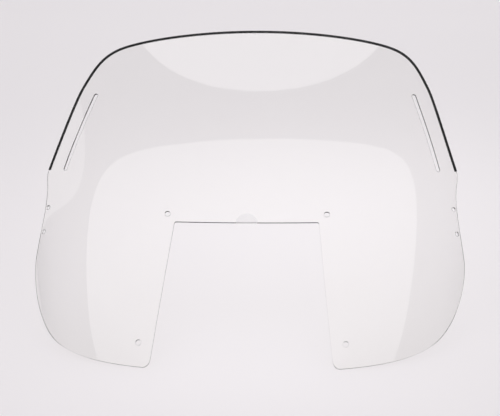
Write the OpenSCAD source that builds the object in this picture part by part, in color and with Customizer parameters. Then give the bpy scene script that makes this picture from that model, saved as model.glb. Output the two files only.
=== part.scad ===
// Touring windshield screen for a motorcycle: one clear formed sheet, cut out at the bottom to stand
// round the headlamp and the instruments, with a slim black trim bonded along its upper edge.
// +X runs across the machine, -Y faces the oncoming air and +Z is up. The outline is drawn flat in
// X and Z, and every point of it is then carried back in Y onto the formed surface.

/* [Sheet] */
// Full width across the widest part of the sides
sheet_w = 658; // [646:1:670]
// Rise from the feet to the top of the crown
sheet_h = 410; // [402:1:418]
// Thickness of the clear sheet
sheet_t = 2.5; // [2:0.1:4]

/* [Form] */
// Lean from the vertical at the feet, in degrees
rake_low = 36; // [30:1:42]
// Lean from the vertical at the crown, in degrees
rake_high = 56; // [50:1:60]
// Set-back of the sides from the broad bow across the sheet
bow_depth = 30; // [10:1:50]
// Further set-back of the sides at the level of the feet, where they turn back sharply
turn_low = 105; // [60:1:120]
// Further set-back of the sides at the level of the crown
turn_high = 7; // [0:1:30]
// Sharpness of the side turn: a higher number keeps the middle flatter
turn_power = 6; // [4:1:8]

/* [Outline] */
// Half-width where the crown runs into the shoulder
shoulder_x = 205; // [195:1:215]
// Height where the crown runs into the shoulder
shoulder_z = 390; // [384:1:394]
// Half-width where the shoulder runs into the flank
flank_x = 270; // [260:1:280]
// Height where the shoulder runs into the flank
flank_z = 340; // [330:1:350]
// Half-width at the lower end of the trimmed flank
notch_x = 316.5; // [312:0.5:320]
// Height of the lower end of the trimmed flank
notch_z = 227; // [222:1:232]
// Half-width of the narrow waist below the trim
waist_x = 316; // [312:0.5:318]
// Height of the waist
waist_z = 200; // [195:1:205]
// Height of the widest part of the sides
hip_z = 97; // [90:1:105]
// Half-width where the side runs into the bottom edge
foot_x = 285; // [278:1:292]
// Height where the side runs into the bottom edge
foot_z = 16.5; // [12:0.5:20]

/* [Cut-out] */
// Width of the cut-out at its top edge
cutout_w = 219; // [200:1:230]
// Height of the top edge of the cut-out above the feet
cutout_h = 178.5; // [165:0.5:190]
// Width between the two legs at the feet
leg_gap = 273; // [262:1:284]
// Radius of the inner corner of each foot
foot_r = 12; // [8:1:16]
// Radius of the top corners of the cut-out
cutout_r = 3; // [2:0.5:6]

/* [Mounting holes] */
// Diameter of the four bracket holes beside the cut-out
bracket_hole_d = 8.5; // [6.5:0.5:9]
// Diameter of the four holes in the sides
side_hole_d = 7; // [5.5:0.5:8]
// Half-spacing of the two upper bracket holes
upper_hole_x = 121; // [118:1:126]
// Height of the two upper bracket holes
upper_hole_z = 188; // [186:1:196]
// Half-spacing of the two foot holes
foot_hole_x = 154; // [150:1:160]
// Height of the two foot holes
foot_hole_z = 30.5; // [26:0.5:36]
// Half-spacing of the lower side holes
low_side_hole_x = 317.5; // [314:0.5:318]
// Height of the lower side holes
low_side_hole_z = 147; // [142:1:152]
// Half-spacing of the upper side holes
high_side_hole_x = 312.5; // [308:0.5:313]
// Height of the upper side holes
high_side_hole_z = 179.5; // [174:0.5:185]

/* [Vent slots] */
// Width of each vent slot
slot_w = 6; // [4:0.5:8]
// Half-spacing of the upper ends of the slots
slot_top_x = 249; // [246:1:252]
// Height of the upper ends of the slots
slot_top_z = 329; // [322:1:332]
// Half-spacing of the lower ends of the slots
slot_low_x = 289; // [284:1:292]
// Height of the lower ends of the slots
slot_low_z = 231; // [226:1:240]

/* [Edge trim] */
// Thickness of the trim's two lips
trim_wall = 0.4; // [0.3:0.05:0.8]
// Thickness of the trim in front of the edge
trim_cap = 0.5; // [0.4:0.1:1]
// How far the trim's two lips reach down over the sheet's faces
trim_lip = 2.8; // [1:0.1:4]
// Thickness of the adhesive between the edge and the trim
bond_t = 0.15; // [0.1:0.05:0.3]

/* [Hidden] */

// Running room between the sheet's faces and the trim's lips
lip_gap = 0.15;
// Bevel along the trim's two outer corners
trim_bevel = 0.25;
// The bond is this much narrower than the edge on each side
bond_margin = 0.05;
// Length of the cutters that drill the sheet, and the number of sides they are drawn with
cutter_len = 24;
cutter_fn = 48;

half_w = sheet_w / 2;
lean_low = tan(rake_low);
lean_high = tan(rake_high);

// ---- the formed surface ---------------------------------------------------------------------

// Depth of the sharp side turn at a height
function turn(z) = turn_low + (turn_high - turn_low) * z / sheet_h;

// Set-back of the sheet's middle surface at a point of the flat outline
function set_back(p) =
    lean_low * p[1] + (lean_high - lean_low) * pow(p[1], 2) / (2 * sheet_h)
    + bow_depth * pow(p[0] / half_w, 2)
    + turn(p[1]) * pow(abs(p[0]) / half_w, turn_power);

// Slope of the surface across the machine, and up it
function slope_x(p) =
    2 * bow_depth * p[0] / pow(half_w, 2)
    + sign(p[0]) * turn(p[1]) * turn_power / half_w * pow(abs(p[0]) / half_w, turn_power - 1);
function slope_z(p) =
    lean_low + (lean_high - lean_low) * p[1] / sheet_h
    + (turn_high - turn_low) / sheet_h * pow(abs(p[0]) / half_w, turn_power);

function unit(v) = v / norm(v);

// Normal of the surface, pointing back towards the rider
function normal_at(p) = unit([-slope_x(p), 1, -slope_z(p)]);

// Point of the outline carried back onto the middle surface
function laid(p) = [p[0], set_back(p), p[1]];

// ---- the outline, right half ----------------------------------------------------------------

function bezier(c, t) =
    pow(1 - t, 3) * c[0] + 3 * t * pow(1 - t, 2) * c[1] + 3 * t * t * (1 - t) * c[2] + pow(t, 3) * c[3];

// Points along a curve, without its last one
function along(c, count) = [for (k = [0 : count - 1]) bezier(c, k / count)];

// A straight run written as a curve
function straight(a, b) = [a, a + (b - a) / 3, a + (b - a) * 2 / 3, b];

function mix(a, b, t) = a + (b - a) * t;

function on_circle(centre, r, angle) = centre + r * [cos(angle), sin(angle)];

// Points along a round corner from angle a0 to a1, without its last one
function arc(centre, r, a0, a1, count) =
    [for (k = [0 : count - 1]) on_circle(centre, r, mix(a0, a1, k / count))];

// A leg's inner edge leans from leg_base to leg_head, and its round corners blend into the edges beside it
leg_base = [leg_gap / 2, 0];
leg_head = [cutout_w / 2, cutout_h];
leg_angle = atan2(leg_head[1] - leg_base[1], leg_head[0] - leg_base[0]);
leg_dir = [cos(leg_angle), sin(leg_angle)];
foot_reach = foot_r / tan(leg_angle / 2);
foot_centre = leg_base + [foot_reach, foot_r];
foot_mid_angle = 180 + leg_angle / 2;
head_reach = cutout_r / tan(leg_angle / 2);
head_centre = leg_head - [head_reach, cutout_r];

// The outer edge in six curves, from the foot up to the middle of the crown. Each curve runs from its
// first point to its last, and the two points between them pull it out into shape.
foot_curve = [[foot_x, foot_z], [foot_x + 34, foot_z + 15], [half_w, 72], [half_w, hip_z]];
hip_curve = [[half_w, hip_z], [half_w, 122], [waist_x - 1, 168], [waist_x, waist_z]];
waist_curve = [
    [waist_x, waist_z], [waist_x + 0.4, waist_z + 10], [notch_x + 3.5, notch_z - 9], [notch_x, notch_z]];
flank_curve = [[notch_x, notch_z], [282.5, 320], [276.5, 330], [flank_x, flank_z]];
shoulder_curve = [[flank_x, flank_z], [254.5, 364.5], [243, 380.5], [shoulder_x, shoulder_z]];
crown_curve = [[shoulder_x, shoulder_z], [159, 401.5], [81, sheet_h], [0, sheet_h]];

// Stations along each of those curves
foot_n = 9;
hip_n = 9;
waist_n = 4;
flank_n = 13;
shoulder_n = 10;
crown_n = 13;
trim_first = foot_n + hip_n + waist_n;
half_n = trim_first + flank_n + shoulder_n + crown_n;

outer = concat(
    along(foot_curve, foot_n), along(hip_curve, hip_n), along(waist_curve, waist_n),
    along(flank_curve, flank_n), along(shoulder_curve, shoulder_n), along(crown_curve, crown_n),
    [[0, sheet_h]]);

// The inner edge, from the middle of the foot's round corner, up the leg and along the cut-out's top
foot_arc_n = 3;
head_arc_n = 2;
cutout_n = 18;
leg_n = half_n - foot_arc_n - head_arc_n - cutout_n;

inner = concat(
    arc(foot_centre, foot_r, foot_mid_angle, leg_angle + 90, foot_arc_n),
    along(straight(leg_base + foot_reach * leg_dir, leg_head - head_reach * leg_dir), leg_n),
    arc(head_centre, cutout_r, leg_angle - 90, 90, head_arc_n),
    along(straight([head_centre[0], cutout_h], [0, cutout_h]), cutout_n),
    [[0, cutout_h]]);

// Rows across the sheet, from the inner edge (0) to the outer edge (1)
corner_row = 0.06;
rows = [0, corner_row / 2, corner_row, 0.15, 0.27, 0.39, 0.51, 0.63, 0.75, 0.87, 0.95, 0.985, 1];
row_n = len(rows) - 1;

// The bottom edge of a foot: the other half of its round corner, then the sole out to the side
sole_curve = [[foot_centre[0], 0], [215, 3], [foot_x - 23, foot_z - 9], [foot_x, foot_z]];
function sole(v) =
    v < corner_row
    ? on_circle(foot_centre, foot_r, mix(foot_mid_angle, 270, v / corner_row))
    : bezier(sole_curve, (v - corner_row) / (1 - corner_row));

// ---- the sheet's grid -----------------------------------------------------------------------
// Stations run from the left foot (0) over the crown to the right foot (last_station).

last_station = 2 * half_n;

// Point of the flat outline at station i of the right half and row v
function half_point(i, v) =
    mix(inner[i], outer[i], v) + (1 - i / half_n) * (sole(v) - mix(inner[0], outer[0], v));

function flat_point(j, v) =
    j <= half_n ? [-half_point(j, v)[0], half_point(j, v)[1]] : half_point(last_station - j, v);

// Point at a station and row, moved off the middle surface along its normal
function sheet_point(j, v, offset) =
    laid(flat_point(j, v)) + offset * normal_at(flat_point(j, v));

sheet_points = [
    for (side = [-1, 1]) for (j = [0 : last_station]) for (v = rows) sheet_point(j, v, side * sheet_t / 2)];

function at(side, j, k) = (side * (last_station + 1) + j) * (row_n + 1) + k;

// Two triangles for a patch with corners a, b, c and d in turn
function patch(a, b, c, d) = [[a, b, c], [a, c, d]];

// The patch is split from whichever corner keeps its triangles well shaped at the feet
function face_patch(side, j, k) =
    let (a = at(side, j, k), b = at(side, j + 1, k), c = at(side, j + 1, k + 1), d = at(side, j, k + 1))
    side == 0
    ? (j < half_n ? patch(d, c, b, a) : patch(a, d, c, b))
    : (j < half_n ? patch(b, c, d, a) : patch(a, b, c, d));

sheet_faces = [
    for (side = [0, 1]) for (j = [0 : last_station - 1]) for (k = [0 : row_n - 1])
        each face_patch(side, j, k),
    for (j = [0 : last_station - 1]) each concat(
        patch(at(0, j, 0), at(0, j + 1, 0), at(1, j + 1, 0), at(1, j, 0)),
        patch(at(1, j, row_n), at(1, j + 1, row_n), at(0, j + 1, row_n), at(0, j, row_n))),
    for (k = [0 : row_n - 1]) each concat(
        patch(at(0, 0, k + 1), at(0, 0, k), at(1, 0, k), at(1, 0, k + 1)),
        patch(at(0, last_station, k), at(0, last_station, k + 1),
            at(1, last_station, k + 1), at(1, last_station, k)))];

// ---- strips that follow the upper edge ------------------------------------------------------

trim_last = last_station - trim_first;

function edge_point(j) = laid(flat_point(j, 1));

// Direction along the edge, and the direction out of the sheet at right angles to it
function edge_step(j) = unit(edge_point(j + 1) - edge_point(j));
function edge_run(j) = unit(edge_step(j) + edge_step(j - 1));
function edge_out(j) = unit(cross(edge_run(j), normal_at(flat_point(j, 1))));

// A cross-section is a list of [across the edge, out of the edge]
function strip_ring(section, j) = [
    for (s = section) edge_point(j) + s[0] * normal_at(flat_point(j, 1)) + s[1] * edge_out(j)];
function strip_points(section, first, last) = [for (j = [first : last]) each strip_ring(section, j)];
function strip_faces(n, count, start_cap, end_cap) = concat(
    [for (r = [0 : count - 2]) for (i = [0 : n - 1])
        each patch(r * n + i, r * n + (i + 1) % n, (r + 1) * n + (i + 1) % n, (r + 1) * n + i)],
    start_cap,
    [for (face = end_cap) [for (i = face) (count - 1) * n + i]]);

// The trim is a shallow channel with bevelled outer corners
trim_top = bond_t + trim_cap;
channel_half = sheet_t / 2 + lip_gap;
trim_half = channel_half + trim_wall;
trim_section = [
    [-trim_half, -trim_lip],
    [-trim_half, trim_top - trim_bevel],
    [-trim_half + trim_bevel, trim_top],
    [trim_half - trim_bevel, trim_top],
    [trim_half, trim_top - trim_bevel],
    [trim_half, -trim_lip],
    [channel_half, -trim_lip],
    [channel_half, bond_t],
    [-channel_half, bond_t],
    [-channel_half, -trim_lip]];
trim_cap_faces = [[0, 1, 8], [0, 8, 9], [1, 2, 8], [2, 3, 8], [3, 7, 8], [3, 4, 7], [4, 5, 7], [5, 6, 7]];

bond_half = sheet_t / 2 - bond_margin;
bond_section = [[-bond_half, 0], [-bond_half, bond_t], [bond_half, bond_t], [bond_half, 0]];
bond_cap_faces = [[0, 1, 2], [0, 2, 3]];

function turned(faces) = [for (face = faces) [face[2], face[1], face[0]]];

trim_points = strip_points(trim_section, trim_first, trim_last);
bond_points = strip_points(bond_section, trim_first, trim_last);

// ---- the origin: the middle of the part's footprint, at the level of its feet ----------------

all_points = concat(sheet_points, trim_points);
front_y = min([for (p = all_points) p[1]]);
back_y = max([for (p = all_points) p[1]]);
base_z = min([for (p = all_points) p[2]]);
origin = [0, (front_y + back_y) / 2, base_z];

module placed() {
    translate(-origin) children();
}

// ---- cutters --------------------------------------------------------------------------------

// Turns a child's Z onto a direction and moves it to a point
module aimed(point, direction) {
    translate(point)
        rotate([0, acos(direction[2]), atan2(direction[1], direction[0])])
            children();
}

module hole(p, d) {
    aimed(laid(p), normal_at(p))
        cylinder(d = d, h = cutter_len, center = true, $fn = cutter_fn);
}

// A straight slot with round ends, cut square to the sheet at the slot's middle
module slot(low, top, width) {
    run = laid(top) - laid(low);
    u = unit(run);
    middle = mix(laid(low), laid(top), 0.5);
    n0 = normal_at(mix(low, top, 0.5));
    n = unit(n0 - (n0 * u) * u);
    w = cross(n, u);
    reach = (norm(run) - width) / 2;
    multmatrix([
        [u[0], w[0], n[0], middle[0]],
        [u[1], w[1], n[1], middle[1]],
        [u[2], w[2], n[2], middle[2]],
        [0, 0, 0, 1]]) {
        cube([2 * reach, width, cutter_len], center = true);
        for (end = [-1, 1])
            translate([end * reach, 0, 0])
                cylinder(d = width, h = cutter_len, center = true, $fn = cutter_fn);
    }
}

module hole_set(side) {
    hole([side * upper_hole_x, upper_hole_z], bracket_hole_d);
    hole([side * foot_hole_x, foot_hole_z], bracket_hole_d);
    hole([side * low_side_hole_x, low_side_hole_z], side_hole_d);
    hole([side * high_side_hole_x, high_side_hole_z], side_hole_d);
    slot([side * slot_low_x, slot_low_z], [side * slot_top_x, slot_top_z], slot_w);
}

// ---- the pieces -----------------------------------------------------------------------------

module screen() {
    color([0.90, 0.91, 0.93, 0.45])
        placed()
            difference() {
                polyhedron(points = sheet_points, faces = sheet_faces, convexity = 8);
                hole_set(-1);
                hole_set(1);
            }
}

module edge_trim() {
    color([0.06, 0.06, 0.06])
        placed()
            polyhedron(
                points = trim_points,
                faces = strip_faces(len(trim_section), trim_last - trim_first + 1,
                    turned(trim_cap_faces), trim_cap_faces),
                convexity = 8);
}

module trim_adhesive() {
    color([0.80, 0.78, 0.70])
        placed()
            polyhedron(
                points = bond_points,
                faces = strip_faces(len(bond_section), trim_last - trim_first + 1,
                    turned(bond_cap_faces), bond_cap_faces),
                convexity = 8);
}

screen();
edge_trim();
trim_adhesive();
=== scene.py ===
# Looks for the touring windshield screen: a clear formed sheet with polished edges and a black edge trim,
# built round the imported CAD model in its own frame. Lengths are in metres, +Z is up and -Y is the front.

import math

import bmesh
import bpy
from mathutils import Matrix, Vector


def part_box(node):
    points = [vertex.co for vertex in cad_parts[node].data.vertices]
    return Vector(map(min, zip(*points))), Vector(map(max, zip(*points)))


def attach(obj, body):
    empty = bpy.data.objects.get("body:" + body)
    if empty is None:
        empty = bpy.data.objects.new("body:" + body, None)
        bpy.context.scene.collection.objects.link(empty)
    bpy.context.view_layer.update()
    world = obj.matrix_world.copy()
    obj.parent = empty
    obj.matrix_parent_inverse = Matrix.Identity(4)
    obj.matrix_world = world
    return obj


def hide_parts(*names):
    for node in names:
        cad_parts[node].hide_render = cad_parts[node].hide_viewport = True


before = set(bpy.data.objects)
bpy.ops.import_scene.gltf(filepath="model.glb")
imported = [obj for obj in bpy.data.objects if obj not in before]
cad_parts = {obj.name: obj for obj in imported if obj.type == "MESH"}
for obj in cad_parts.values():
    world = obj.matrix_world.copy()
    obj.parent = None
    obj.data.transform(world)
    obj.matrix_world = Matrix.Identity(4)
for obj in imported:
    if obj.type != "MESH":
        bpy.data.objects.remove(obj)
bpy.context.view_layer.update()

# ---- sizes of the design ---------------------------------------------------------------------

# The sheet: half of its width, its rise and its thickness
HALF_W = 0.329
SHEET_H = 0.410
SHEET_T = 0.0025

# The form: lean from the vertical at the feet and at the crown, broad bow, and side turn
LEAN_LOW = math.tan(math.radians(36))
LEAN_HIGH = math.tan(math.radians(56))
BOW_DEPTH = 0.030
TURN_LOW = 0.105
TURN_HIGH = 0.007
TURN_POWER = 6

# The outer edge, right half: where its curves meet
SHOULDER = (0.205, 0.390)
FLANK = (0.270, 0.340)
NOTCH = (0.3165, 0.227)
WAIST = (0.316, 0.200)
HIP = (HALF_W, 0.097)
FOOT = (0.285, 0.0165)
CROWN = (0.0, SHEET_H)

# The cut-out and the legs
CUTOUT_W = 0.219
CUTOUT_H = 0.1785
LEG_GAP = 0.273
FOOT_R = 0.012
CUTOUT_R = 0.003

# Round holes, right half: place and diameter
HOLES = (
    ((0.121, 0.188), 0.0085),
    ((0.154, 0.0305), 0.0085),
    ((0.3175, 0.147), 0.007),
    ((0.3125, 0.1795), 0.007),
)

# Vent slots, right half: lower end, upper end and width
SLOT_LOW = (0.289, 0.231)
SLOT_TOP = (0.249, 0.329)
SLOT_W = 0.006

# The trim's channel
TRIM_WALL = 0.0004
TRIM_CAP = 0.0005
TRIM_LIP = 0.0028
BOND_T = 0.00015
LIP_GAP = 0.00015

# Rounding of the trim's shoulders, of its lips and of its two ends
SHOULDER_R = 0.00045
LIP_R = 0.00018
TRIM_END_R = 0.0003

# Finish of the edges: round of the polished outer edge, and chamfer of the holes and slots
EDGE_R = 0.0004
CHAMFER = 0.0003

# The plain frosted mark above the cut-out: half of its width, its height, and how its edge fades
MARK_HALF_W = 0.017
MARK_H = 0.0115
MARK_FADE = 0.1

# How many times finer than the CAD model's grid this one is, along the edge and across the sheet
FINER = 3

# Edges that turn more than this stay crisp
CREASE = math.radians(40)


# ---- the formed surface ----------------------------------------------------------------------


def turn(z):
    """Depth of the side turn at a height."""
    return TURN_LOW + (TURN_HIGH - TURN_LOW) * z / SHEET_H


def set_back(x, z):
    """How far back the sheet's middle surface lies at a point of the flat outline."""
    lean = LEAN_LOW * z + (LEAN_HIGH - LEAN_LOW) * z * z / (2 * SHEET_H)
    return lean + BOW_DEPTH * (x / HALF_W) ** 2 + turn(z) * abs(x / HALF_W) ** TURN_POWER


def normal_at(x, z):
    """Normal of the surface, pointing back towards the rider."""
    u = x / HALF_W
    side_slope = math.copysign(turn(z) * TURN_POWER * abs(u) ** (TURN_POWER - 1), u)
    slope_x = (2 * BOW_DEPTH * u + side_slope) / HALF_W
    slope_z = LEAN_LOW + (LEAN_HIGH - LEAN_LOW) * z / SHEET_H
    slope_z += (TURN_HIGH - TURN_LOW) / SHEET_H * abs(u) ** TURN_POWER
    return Vector((-slope_x, 1, -slope_z)).normalized()


def laid(x, z):
    """Point of the flat outline carried back onto the middle surface."""
    return Vector((x, set_back(x, z), z))


# ---- the outline, right half -----------------------------------------------------------------


def mix(a, b, t):
    return a + (b - a) * t


def bezier(c, t):
    a, b, d, e = (Vector(p) for p in c)
    return (1 - t) ** 3 * a + 3 * t * (1 - t) ** 2 * b + 3 * t * t * (1 - t) * d + t ** 3 * e


def along(c, count):
    """Points along a curve, without its last one."""
    return [bezier(c, k / count) for k in range(count)]


def run_of(a, b, count):
    """Points along a straight run, without its last one."""
    return [mix(Vector(a), Vector(b), k / count) for k in range(count)]


def on_circle(centre, r, angle):
    return Vector(centre) + r * Vector((math.cos(angle), math.sin(angle)))


def arc(centre, r, a0, a1, count):
    """Points along a round corner, without its last one."""
    return [on_circle(centre, r, mix(a0, a1, k / count)) for k in range(count)]


# A leg's inner edge leans, and its round corners blend into the edges beside it
LEG_BASE = Vector((LEG_GAP / 2, 0))
LEG_HEAD = Vector((CUTOUT_W / 2, CUTOUT_H))
LEG_RUN = (LEG_HEAD - LEG_BASE).normalized()
LEG_ANGLE = math.atan2(LEG_RUN.y, LEG_RUN.x)
FOOT_REACH = FOOT_R / math.tan(LEG_ANGLE / 2)
FOOT_CENTRE = LEG_BASE + Vector((FOOT_REACH, FOOT_R))
FOOT_MID_ANGLE = math.pi + LEG_ANGLE / 2
HEAD_REACH = CUTOUT_R / math.tan(LEG_ANGLE / 2)
HEAD_CENTRE = LEG_HEAD - Vector((HEAD_REACH, CUTOUT_R))

# The outer edge from the foot up to the middle of the crown: each curve with its number of stations.
# A curve's first and last points lie on the edge, and the two between them are its handles.
WAIST_HANDLES = (WAIST[0] + 0.0004, WAIST[1] + 0.010), (NOTCH[0] + 0.0035, NOTCH[1] - 0.009)
OUTER_CURVES = (
    ((FOOT, (FOOT[0] + 0.034, FOOT[1] + 0.015), (HALF_W, 0.072), HIP), 9),
    ((HIP, (HALF_W, 0.122), (WAIST[0] - 0.001, 0.168), WAIST), 9),
    ((WAIST, *WAIST_HANDLES, NOTCH), 4),
    ((NOTCH, (0.2825, 0.320), (0.2765, 0.330), FLANK), 13),
    ((FLANK, (0.2545, 0.3645), (0.243, 0.3805), SHOULDER), 10),
    ((SHOULDER, (0.159, 0.4015), (0.081, SHEET_H), CROWN), 13),
)

# How many of those curves lie below the trim, and the stations of the cut-out's corners and top edge
BELOW_TRIM = 3
FOOT_ARC_N = 3 * FINER
HEAD_ARC_N = 2 * FINER
CUTOUT_N = 18 * FINER

HALF_N = FINER * sum(count for _, count in OUTER_CURVES)
TRIM_FIRST = FINER * sum(count for _, count in OUTER_CURVES[:BELOW_TRIM])
LAST = 2 * HALF_N

outer = [p for curve, count in OUTER_CURVES for p in along(curve, FINER * count)] + [Vector(CROWN)]

leg_n = HALF_N - FOOT_ARC_N - HEAD_ARC_N - CUTOUT_N
leg_low = LEG_BASE + FOOT_REACH * LEG_RUN
leg_high = LEG_HEAD - HEAD_REACH * LEG_RUN
inner = (
    arc(FOOT_CENTRE, FOOT_R, FOOT_MID_ANGLE, LEG_ANGLE + math.pi / 2, FOOT_ARC_N)
    + run_of(leg_low, leg_high, leg_n)
    + arc(HEAD_CENTRE, CUTOUT_R, LEG_ANGLE - math.pi / 2, math.pi / 2, HEAD_ARC_N)
    + run_of((HEAD_CENTRE.x, CUTOUT_H), (0, CUTOUT_H), CUTOUT_N)
    + [Vector((0, CUTOUT_H))]
)

# Rows across the sheet, from the inner edge (0) to the outer edge (1)
CORNER_ROW = 0.06
COARSE_ROWS = (0, CORNER_ROW / 2, CORNER_ROW, 0.15, 0.27, 0.39, 0.51, 0.63, 0.75, 0.87, 0.95, 0.985, 1)
rows = [mix(a, b, k / FINER) for a, b in zip(COARSE_ROWS, COARSE_ROWS[1:]) for k in range(FINER)] + [1]
ROW_LAST = len(rows) - 1

# The bottom edge of a foot: the other half of its round corner, then the sole out to the side
SOLE_CURVE = ((FOOT_CENTRE.x, 0), (0.215, 0.003), (FOOT[0] - 0.023, FOOT[1] - 0.009), FOOT)


def sole(v):
    if v < CORNER_ROW:
        return on_circle(FOOT_CENTRE, FOOT_R, mix(FOOT_MID_ANGLE, 1.5 * math.pi, v / CORNER_ROW))
    return bezier(SOLE_CURVE, (v - CORNER_ROW) / (1 - CORNER_ROW))


def flat_point(j, v):
    """Point of the flat outline at row v and station j, which runs from 0 at the left foot to LAST."""
    i = min(j, LAST - j)
    p = mix(inner[i], outer[i], v) + (1 - i / HALF_N) * (sole(v) - mix(inner[0], outer[0], v))
    return (-p.x if j < HALF_N else p.x), p.y


# ---- mesh helpers ----------------------------------------------------------------------------


def new_object(name, points, faces):
    mesh = bpy.data.meshes.new(name)
    mesh.from_pydata(points, [], faces)
    bm = bmesh.new()
    bm.from_mesh(mesh)
    bmesh.ops.recalc_face_normals(bm, faces=bm.faces)
    bm.to_mesh(mesh)
    bm.free()
    obj = bpy.data.objects.new(name, mesh)
    bpy.context.scene.collection.objects.link(obj)
    return obj


def quads(a, b, closed=False):
    """Faces that join two rows of vertex numbers."""
    count = len(a) if closed else len(a) - 1
    return [(a[k], a[(k + 1) % len(a)], b[(k + 1) % len(a)], b[k]) for k in range(count)]


def smooth(obj):
    """Smooth shading, with the creases left crisp."""
    for face in obj.data.polygons:
        face.use_smooth = True
    obj.data.set_sharp_from_angle(angle=CREASE)


# ---- the screen ------------------------------------------------------------------------------

# The rim's cross-section: each point's place as (out of the sheet, across the sheet)
RIM_STEPS = 3
QUARTER = [k / RIM_STEPS * math.pi / 2 for k in range(RIM_STEPS + 1)]
RIM_UPPER = [(EDGE_R * (math.sin(a) - 1), SHEET_T / 2 - EDGE_R * (1 - math.cos(a))) for a in QUARTER]
RIM = RIM_UPPER + [(out, -across) for out, across in reversed(RIM_UPPER)]


def perimeter():
    """Grid places round the sheet: the outer edge from the left foot on, then back by the inner edge."""
    loop = [(j, ROW_LAST) for j in range(LAST + 1)]
    loop += [(LAST, k) for k in range(ROW_LAST - 1, -1, -1)]
    loop += [(j, 0) for j in range(LAST - 1, -1, -1)]
    return loop + [(0, k) for k in range(1, ROW_LAST)]


def sheet_mesh():
    """The formed sheet as a closed mesh with a rounded rim, before it is drilled."""
    flat = {(j, k): flat_point(j, v) for j in range(LAST + 1) for k, v in enumerate(rows)}
    loop = perimeter()
    middle = [laid(*flat[place]) for place in loop]
    number = len(loop)
    points = []
    rings = []
    for i, place in enumerate(loop):
        normal = normal_at(*flat[place])
        ahead = (middle[(i + 1) % number] - middle[i]).normalized()
        behind = (middle[i] - middle[i - 1]).normalized()
        out = (ahead + behind).cross(normal).normalized()
        rings.append(range(len(points), len(points) + len(RIM)))
        points += [middle[i] + out * reach + normal * across for reach, across in RIM]
    faces = []
    for i in range(number):
        faces += quads(rings[i], rings[(i + 1) % number])
    for side, ring_end in ((1, 0), (-1, len(RIM) - 1)):
        index = {place: rings[i][ring_end] for i, place in enumerate(loop)}
        for place, p in flat.items():
            if place not in index:
                index[place] = len(points)
                points.append(laid(*p) + side * SHEET_T / 2 * normal_at(*p))
        stations = [[index[j, k] for k in range(ROW_LAST + 1)] for j in range(LAST + 1)]
        for near, far in zip(stations, stations[1:]):
            faces += quads(near, far)
    return points, faces


# Steps round the holes, and round the ends and along the sides of the slots
HOLE_ARC_N = 16
SLOT_ARC_N = 10
SLOT_RUN_N = 24

# How far the cutters stand clear of the sheet, and how many rounds find the surface's depth
CUTTER_CLEAR = 0.0012
DEPTH_ROUNDS = 6

# The broad faces: how far a face may turn from the formed surface, and a corner lie off it
FACE_TURN = math.radians(30)
FACE_OFF = 0.00005


def stadium(reach, r, arc_steps, run_steps):
    """One side of a long hole with round ends, from end to end, as (place, outward direction) pairs."""
    side = []
    for k in range(arc_steps + 1):
        angle = math.pi - k / arc_steps * math.pi / 2
        way = Vector((math.cos(angle), math.sin(angle)))
        side.append((Vector((-reach, 0)) + r * way, way))
    for k in range(1, run_steps):
        side.append((Vector((mix(-reach, reach, k / run_steps), r)), Vector((0, 1))))
    return side + [(Vector((-p.x, p.y)), Vector((-w.x, w.y))) for p, w in reversed(side[:arc_steps + 1])]


def depth_to_surface(point, direction):
    """How far along the direction the middle surface lies, by Newton's rule, and the normal there."""
    depth = 0.0
    for _ in range(DEPTH_ROUNDS):
        at = point + depth * direction
        normal = normal_at(at.x, at.z)
        depth -= (at.y - set_back(at.x, at.z)) * normal.y / normal.dot(direction)
    return depth, normal


def cutter(middle, u, n, side, points, faces):
    """Adds one cutter, which passes through the sheet along n and flares at both faces for a chamfer."""
    w = n.cross(u)
    back = [(Vector((p.x, -p.y)), Vector((way.x, -way.y))) for p, way in reversed(side[1:-1])]
    rings = [[], [], [], []]
    for p, way in side + back:
        base = middle + u * p.x + w * p.y
        outward = u * way.x + w * way.y
        depth, normal = depth_to_surface(base, n)
        half = SHEET_T / 2 / normal.dot(n)
        steps = (
            (-half - CUTTER_CLEAR, CHAMFER + CUTTER_CLEAR),
            (CHAMFER - half, 0),
            (half - CHAMFER, 0),
            (half + CUTTER_CLEAR, CHAMFER + CUTTER_CLEAR),
        )
        for ring, (height, flare) in zip(rings, steps):
            ring.append(len(points))
            points.append(base + n * (depth + height) + outward * flare)
    for low, high in zip(rings, rings[1:]):
        faces += quads(low, high, closed=True)
    for ring in (rings[0], rings[-1]):
        near = ring[:len(side)]
        far = [ring[0]] + ring[:len(side) - 1:-1] + [ring[len(side) - 1]]
        for k in range(len(side) - 1):
            face = [near[k], near[k + 1], far[k + 1], far[k]]
            faces.append(tuple(dict.fromkeys(face)))


def cutters():
    """All the cutters in one object."""
    points, faces = [], []
    for side in (-1, 1):
        for (x, z), d in HOLES:
            n = normal_at(side * x, z)
            u = n.cross(Vector((0, 0, 1))).normalized()
            cutter(laid(side * x, z), u, n, stadium(0, d / 2, HOLE_ARC_N, 0), points, faces)
        low, top = laid(side * SLOT_LOW[0], SLOT_LOW[1]), laid(side * SLOT_TOP[0], SLOT_TOP[1])
        u = (top - low).normalized()
        level = normal_at(side * (SLOT_LOW[0] + SLOT_TOP[0]) / 2, (SLOT_LOW[1] + SLOT_TOP[1]) / 2)
        n = (level - level.dot(u) * u).normalized()
        slot = stadium(((top - low).length - SLOT_W) / 2, SLOT_W / 2, SLOT_ARC_N, SLOT_RUN_N)
        cutter((low + top) / 2, u, n, slot, points, faces)
    return new_object("cutters", points, faces)


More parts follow.
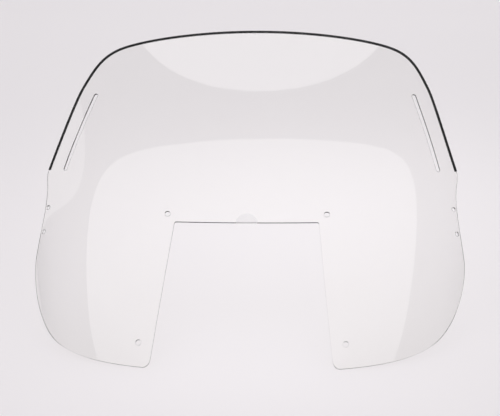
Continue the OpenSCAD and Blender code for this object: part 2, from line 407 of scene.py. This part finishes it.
def shade_from_surface(obj, shift):
    """Gives the two broad faces the formed surface's own normals, so that they show no facets."""
    mesh = obj.data
    normals = [loop.vector.copy() for loop in mesh.corner_normals]
    least = math.cos(FACE_TURN)
    for face in mesh.polygons:
        centre = face.center + shift
        level = normal_at(centre.x, centre.z)
        turned = face.normal.dot(level)
        if abs(turned) < least:
            continue
        for loop in face.loop_indices:
            place = mesh.vertices[mesh.loops[loop].vertex_index].co + shift
            own = normal_at(place.x, place.z)
            height = (place - laid(place.x, place.z)).dot(own)
            if abs(abs(height) - SHEET_T / 2) < FACE_OFF:
                normals[loop] = own * math.copysign(1, turned)
    mesh.normals_split_custom_set(normals)


def make_screen():
    """The clear sheet: grid, rim, holes and slots. Returns it with the shift from the design's origin."""
    points, faces = sheet_mesh()
    obj = new_object("clear_screen", points, faces)
    tool = cutters()
    cut = obj.modifiers.new("drilled", "BOOLEAN")
    cut.operation = "DIFFERENCE"
    cut.solver = "EXACT"
    cut.object = tool
    graph = bpy.context.evaluated_depsgraph_get()
    drilled = bpy.data.meshes.new_from_object(obj.evaluated_get(graph))
    obj.modifiers.clear()
    obj.data = drilled
    obj.data.name = obj.name
    bpy.data.objects.remove(tool)
    low = Vector([min(v.co[axis] for v in drilled.vertices) for axis in range(3)])
    cad_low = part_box("screen")[0]
    shift = Vector((0, low.y - cad_low.y, low.z - cad_low.z))
    drilled.transform(Matrix.Translation(-shift))
    smooth(obj)
    shade_from_surface(obj, shift)
    return obj, shift


# ---- the trim --------------------------------------------------------------------------------


# Steps round each corner of the trim's section
CORNER_N = 4

# Half of the channel's inside width
CHANNEL = SHEET_T / 2 + LIP_GAP


def rounded(corners):
    """A closed outline from square (x, y, radius) corners, each rounded to its radius."""
    outline = []
    for i, (x, y, r) in enumerate(corners):
        here = Vector((x, y))
        if r == 0:
            outline.append(here)
            continue
        before = (Vector(corners[i - 1][:2]) - here).normalized()
        after = (Vector(corners[(i + 1) % len(corners)][:2]) - here).normalized()
        centre = here + (before + after) * r
        for k in range(CORNER_N + 1):
            angle = k / CORNER_N * math.pi / 2
            outline.append(centre - after * r * math.cos(angle) - before * r * math.sin(angle))
    return outline


def trim_section():
    """The channel that grips the edge, as (across the edge, out of the edge) points."""
    half, top = CHANNEL + TRIM_WALL, BOND_T + TRIM_CAP
    return rounded([
        (-half, -TRIM_LIP, LIP_R),
        (-half, top, SHOULDER_R),
        (half, top, SHOULDER_R),
        (half, -TRIM_LIP, LIP_R),
        (CHANNEL, -TRIM_LIP, 0),
        (CHANNEL, BOND_T, 0),
        (-CHANNEL, BOND_T, 0),
        (-CHANNEL, -TRIM_LIP, 0),
    ])


def make_trim(shift):
    """The black trim, swept along the upper edge from one flank over the crown to the other."""
    section = trim_section()
    first, last = TRIM_FIRST, LAST - TRIM_FIRST
    points, rings = [], []

    def ring(station, ahead, shrink=0):
        """Adds the section at a station, moved ahead along the edge and drawn in at its outside."""
        x, z = flat_point(station, 1)
        normal = normal_at(x, z)
        middle = laid(x, z)
        run = laid(*flat_point(station + 1, 1)) - middle
        back = middle - laid(*flat_point(station - 1, 1))
        way = (run.normalized() + back.normalized()).normalized()
        out = way.cross(normal).normalized()
        rings.append(range(len(points), len(points) + len(section)))
        for s in section:
            outside = abs(s.x) > CHANNEL + TRIM_WALL / 4
            across = s.x - math.copysign(shrink, s.x) * outside
            outward = s.y - shrink * (s.y > BOND_T)
            points.append(middle + normal * across + out * outward + way * ahead - shift)

    ring(first, 0, TRIM_END_R)
    ring(first, TRIM_END_R)
    for station in range(first + 1, last):
        ring(station, 0)
    ring(last, -TRIM_END_R)
    ring(last, 0, TRIM_END_R)
    faces = [face for a, b in zip(rings, rings[1:]) for face in quads(a, b, closed=True)]
    faces += [tuple(reversed(rings[0])), tuple(rings[-1])]
    obj = new_object("black_edge_trim", points, faces)
    smooth(obj)
    return obj


# ---- materials -------------------------------------------------------------------------------


class Nodes:
    """A short way to write a material's node tree."""

    def __init__(self, name):
        self.material = bpy.data.materials.new(name)
        self.material.use_nodes = True
        self.tree = self.material.node_tree
        self.tree.nodes.clear()
        self.place = self.add("ShaderNodeTexCoord").outputs["Object"]

    def add(self, kind, **settings):
        node = self.tree.nodes.new(kind)
        for key, value in settings.items():
            setattr(node, key, value)
        return node

    def link(self, source, target):
        self.tree.links.new(source, target)

    def set(self, node, **values):
        for key, value in values.items():
            node.inputs[key.replace("_", " ")].default_value = value
        return node

    def stretched(self, scale, turned):
        """Object coordinates turned, and scaled by a different number along each axis."""
        mapping = self.add("ShaderNodeMapping")
        mapping.inputs["Scale"].default_value = scale
        mapping.inputs["Rotation"].default_value = turned
        self.link(self.place, mapping.inputs["Vector"])
        return mapping.outputs["Vector"]

    def noise(self, scale, detail, vector=None):
        node = self.set(self.add("ShaderNodeTexNoise"), Scale=scale, Detail=detail)
        self.link(vector or self.place, node.inputs["Vector"])
        return node.outputs["Fac"]

    def spread(self, source, low, high, to_low, to_high):
        """Maps a range of values onto another, held at both ends."""
        node = self.add("ShaderNodeMapRange")
        self.set(node, From_Min=low, From_Max=high, To_Min=to_low, To_Max=to_high)
        self.link(source, node.inputs["Value"])
        return node.outputs["Result"]

    def math(self, operation, a, b):
        node = self.add("ShaderNodeMath", operation=operation)
        for socket, value in zip(node.inputs, (a, b)):
            if isinstance(value, (int, float)):
                socket.default_value = value
            else:
                self.link(value, socket)
        return node.outputs["Value"]

    def tint(self, factor, colour_a, colour_b):
        """Mixes two colours, each a triple or another node's colour."""
        node = self.add("ShaderNodeMix", data_type="RGBA")
        for socket, colour in ((node.inputs[6], colour_a), (node.inputs[7], colour_b)):
            if isinstance(colour, tuple):
                socket.default_value = (*colour, 1)
            else:
                self.link(colour, socket)
        self.link(factor, node.inputs["Factor"])
        return node.outputs[2]

    def bump(self, height, distance, strength, under=None):
        node = self.set(self.add("ShaderNodeBump"), Strength=strength, Distance=distance)
        self.link(height, node.inputs["Height"])
        if under:
            self.link(under, node.inputs["Normal"])
        return node.outputs["Normal"]

    def finish(self, shader):
        output = self.add("ShaderNodeOutputMaterial")
        self.link(shader, output.inputs["Surface"])
        return self.material


def half_round_mark(t):
    """1 inside a plain half-round frosted mark that stands on the middle of the cut-out's top edge."""
    axes = t.add("ShaderNodeSeparateXYZ")
    t.link(t.place, axes.inputs["Vector"])
    across = t.math("DIVIDE", axes.outputs["X"], MARK_HALF_W)
    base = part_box("screen")[0].z + CUTOUT_H
    up = t.math("DIVIDE", t.math("SUBTRACT", axes.outputs["Z"], base), MARK_H)
    reach = t.math("ADD", t.math("MULTIPLY", across, across), t.math("MULTIPLY", up, up))
    return t.spread(reach, 1 - MARK_FADE, 1 + MARK_FADE, 1.0, 0.0)


# How rough the frosted mark is, and how much light the clear sheet passes on to the floor
FROST = 0.3
PASSED = (0.955, 0.955, 0.95)


def clear_plastic():
    """Clear hard-coated sheet: uneven polish, hairline wiping marks and a frosted half-round mark.

    Light on its way to or from another surface passes straight, so the sheet doesn't darken the floor.
    """
    t = Nodes("clear_sheet")
    body = t.add("ShaderNodeBsdfPrincipled")
    t.set(body, IOR=1.49, Metallic=0.0)
    body.inputs["Transmission Weight"].default_value = 1.0
    haze = t.spread(t.noise(9.0, 2.0), 0.3, 0.75, 0.004, 0.022)
    frosted = half_round_mark(t)
    wipes = t.noise(1.0, 4.0, t.stretched((55, 90, 2200), (0.2, 0.5, 0.3)))
    marks = t.spread(wipes, 0.62, 0.8, 0.0, 0.03)
    polish = t.math("ADD", haze, marks)
    t.link(t.math("MAXIMUM", polish, t.math("MULTIPLY", frosted, FROST)), body.inputs["Roughness"])
    clear = t.tint(t.noise(4.0, 1.0), (0.996, 0.994, 0.988), (0.988, 0.985, 0.976))
    t.link(t.tint(frosted, clear, (0.93, 0.93, 0.93)), body.inputs["Base Color"])
    ripple = t.bump(t.noise(14.0, 1.0), 0.00006, 0.5)
    t.link(t.bump(wipes, 0.000004, 0.3, ripple), body.inputs["Normal"])
    passing = t.add("ShaderNodeBsdfTransparent")
    passing.inputs["Color"].default_value = (*PASSED, 1)
    rays = t.add("ShaderNodeLightPath")
    seen = body.outputs["BSDF"]
    for ray in ("Is Diffuse Ray", "Is Shadow Ray"):
        blend = t.add("ShaderNodeMixShader")
        t.link(rays.outputs[ray], blend.inputs[0])
        t.link(seen, blend.inputs[1])
        t.link(passing.outputs["BSDF"], blend.inputs[2])
        seen = blend.outputs["Shader"]
    return t.finish(seen)


def black_rubber():
    """Satin black trim with a fine moulded grain and a few paler rubbed patches."""
    t = Nodes("black_trim")
    body = t.add("ShaderNodeBsdfPrincipled")
    body.inputs["Specular IOR Level"].default_value = 0.35
    rubbed = t.spread(t.noise(60.0, 4.0), 0.45, 0.7, 0.0, 1.0)
    t.link(t.tint(rubbed, (0.008, 0.008, 0.009), (0.022, 0.022, 0.024)), body.inputs["Base Color"])
    t.link(t.spread(t.noise(240.0, 3.0), 0.3, 0.7, 0.36, 0.56), body.inputs["Roughness"])
    t.link(t.bump(t.noise(2600.0, 3.0), 0.00003, 0.6), body.inputs["Normal"])
    return t.finish(body.outputs["BSDF"])


def adhesive():
    """Milky transfer tape, with small trapped bubbles."""
    t = Nodes("adhesive")
    body = t.add("ShaderNodeBsdfPrincipled")
    colour = t.tint(t.noise(300.0, 2.0), (0.62, 0.60, 0.54), (0.74, 0.72, 0.66))
    t.link(colour, body.inputs["Base Color"])
    t.link(t.spread(t.noise(900.0, 2.0), 0.3, 0.7, 0.45, 0.7), body.inputs["Roughness"])
    t.link(t.bump(t.noise(1500.0, 2.0), 0.00002, 0.5), body.inputs["Normal"])
    return t.finish(body.outputs["BSDF"])


def pale_floor():
    """Plain matt floor with a trace of unevenness in its tone."""
    t = Nodes("pale_floor")
    body = t.add("ShaderNodeBsdfPrincipled")
    body.inputs["Specular IOR Level"].default_value = 0.0
    colour = t.tint(t.noise(0.6, 2.0), (0.853, 0.828, 0.842), (0.862, 0.836, 0.850))
    t.link(colour, body.inputs["Base Color"])
    t.link(t.spread(t.noise(3.0, 2.0), 0.3, 0.7, 0.85, 0.95), body.inputs["Roughness"])
    return t.finish(body.outputs["BSDF"])


def paint(obj, material):
    obj.data.materials.clear()
    obj.data.materials.append(material)


# ---- the studio ------------------------------------------------------------------------------


# The floor: its width, and how far it lies under the feet
FLOOR_W = 40
FLOOR_GAP = 0.0005

# The surround's colours: as seen, as a light, and for the room that the sheet mirrors
SEEN = (0.80, 0.78, 0.80)
LIGHT = (0.46, 0.45, 0.46)
ROOM = (1, 0.98, 0.99)

# The mirrored room at the horizon and near its top, as (upward part of the direction, brightness)
ROOM_LOW = (0.0, 0.03)
ROOM_HIGH = (0.95, 0.36)

# The camera: its turn from the front, its rise and its roll in degrees, the place it looks at,
# how far from it that is, and its lens
CAMERA_ANGLES = (4.337, 16.167, -0.929)
CAMERA_TARGET = (0.0178, -0.2300, 0.2490)
CAMERA_DISTANCE = 3.7346
CAMERA_LENS = 186.07

# Power of a soft light for each square metre and unit of brightness
LIGHT_POWER = 4

# The middle of the window on the left, which the sheet's left edge mirrors
WINDOW = (-2.5, 1.5, 2.17)


def make_floor():
    half = FLOOR_W / 2
    corners = [(-half, -half, 0), (half, -half, 0), (half, half, 0), (-half, half, 0)]
    obj = new_object("floor", corners, [(0, 1, 2, 3)])
    obj.location.z = -FLOOR_GAP
    paint(obj, pale_floor())


def area_light(
    name, place, size, brightness, shape="ELLIPSE", aim=None, roll=0, diffuse=True, glossy=True
):
    """A soft light, with the power that makes its face as bright as asked at any size."""
    light = bpy.data.lights.new(name, "AREA")
    light.shape = shape
    light.size, light.size_y = size
    filled = math.pi / 4 if shape == "ELLIPSE" else 1.0
    light.energy = LIGHT_POWER * brightness * size[0] * size[1] * filled
    obj = bpy.data.objects.new(name, light)
    obj.location = place
    if aim:
        aimed = (Vector(aim) - Vector(place)).to_track_quat("-Z", "Y").to_matrix()
        obj.rotation_euler = (aimed @ Matrix.Rotation(math.radians(roll), 3, "Z")).to_euler()
    obj.visible_diffuse = diffuse
    obj.visible_glossy = glossy
    obj.visible_transmission = glossy
    bpy.context.scene.collection.objects.link(obj)


def make_world():
    """A pale surround, dimmer as a light, and for reflections a room that darkens towards the horizon."""
    world = bpy.data.worlds.new("studio")
    world.use_nodes = True
    tree = world.node_tree
    tree.nodes.clear()

    def surround(colour):
        node = tree.nodes.new("ShaderNodeBackground")
        node.inputs["Color"].default_value = (*colour, 1)
        return node

    def choose(ray, otherwise, chosen):
        node = tree.nodes.new("ShaderNodeMixShader")
        tree.links.new(rays.outputs[ray], node.inputs[0])
        tree.links.new(otherwise.outputs[0], node.inputs[1])
        tree.links.new(chosen.outputs[0], node.inputs[2])
        return node

    rays = tree.nodes.new("ShaderNodeLightPath")
    seen, light, room = surround(SEEN), surround(LIGHT), surround(ROOM)
    place = tree.nodes.new("ShaderNodeTexCoord")
    axes = tree.nodes.new("ShaderNodeSeparateXYZ")
    height = tree.nodes.new("ShaderNodeMapRange")
    for end, (rise, strength) in (("Min", ROOM_LOW), ("Max", ROOM_HIGH)):
        height.inputs["From " + end].default_value = rise
        height.inputs["To " + end].default_value = strength
    tree.links.new(place.outputs["Generated"], axes.inputs["Vector"])
    tree.links.new(axes.outputs["Z"], height.inputs["Value"])
    tree.links.new(height.outputs["Result"], room.inputs["Strength"])
    lit = choose("Is Glossy Ray", choose("Is Diffuse Ray", seen, light), room)
    output = tree.nodes.new("ShaderNodeOutputWorld")
    tree.links.new(lit.outputs[0], output.inputs["Surface"])
    bpy.context.scene.world = world


def make_camera():
    """A long lens a little above the sheet and slightly to its right, rolled by under a degree."""
    azimuth, elevation, roll = (math.radians(a) for a in CAMERA_ANGLES)
    away = Vector((
        math.sin(azimuth) * math.cos(elevation),
        -math.cos(azimuth) * math.cos(elevation),
        math.sin(elevation),
    ))
    right = (-away).cross(Vector((0, 0, 1))).normalized()
    up = away.cross(right)
    turned_right = right * math.cos(roll) + up * math.sin(roll)
    turned_up = up * math.cos(roll) - right * math.sin(roll)
    camera = bpy.data.cameras.new("camera")
    camera.sensor_fit = "HORIZONTAL"
    camera.sensor_width = 36
    camera.lens = CAMERA_LENS
    obj = bpy.data.objects.new("camera", camera)
    axes = Matrix((turned_right, turned_up, away)).transposed().to_4x4()
    obj.matrix_world = Matrix.Translation(Vector(CAMERA_TARGET) + away * CAMERA_DISTANCE) @ axes
    bpy.context.scene.collection.objects.link(obj)
    bpy.context.scene.camera = obj


# ---- the model -------------------------------------------------------------------------------

screen, shift = make_screen()
paint(screen, clear_plastic())
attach(screen, "root")
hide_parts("screen")

trim = make_trim(shift)
paint(trim, black_rubber())
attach(trim, "root")
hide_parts("edge_trim")

paint(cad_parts["trim_adhesive"], adhesive())

make_floor()
make_world()

# The sheet mirrors these: the panel as a pale arch, the disc as a pale patch under the crown, and the
# window as a pale corner on the left
area_light("overhead_panel", (-0.1, -1.5, 2.5), (5.0, 2.9), 0.64)
area_light("rear_disc", (-0.12, 0.84, 2.5), (1.2, 1.2), 0.8)
area_light("side_window", WINDOW, (2.83, 5.2), 0.4, aim=(0, *WINDOW[1:]), roll=-24.9, diffuse=False)

# These two only light the floor more evenly
area_light("floor_strip", (0.04, 0.3, 0.6), (0.35, 1.5), 0.68, shape="RECTANGLE", glossy=False)
area_light("rear_wash", (-0.1, 2.9, 3.0), (2.2, 2.0), 2.75, aim=(0.0, 2.1, 0), glossy=False)

make_camera()
bpy.context.scene.view_settings.view_transform = "Standard"
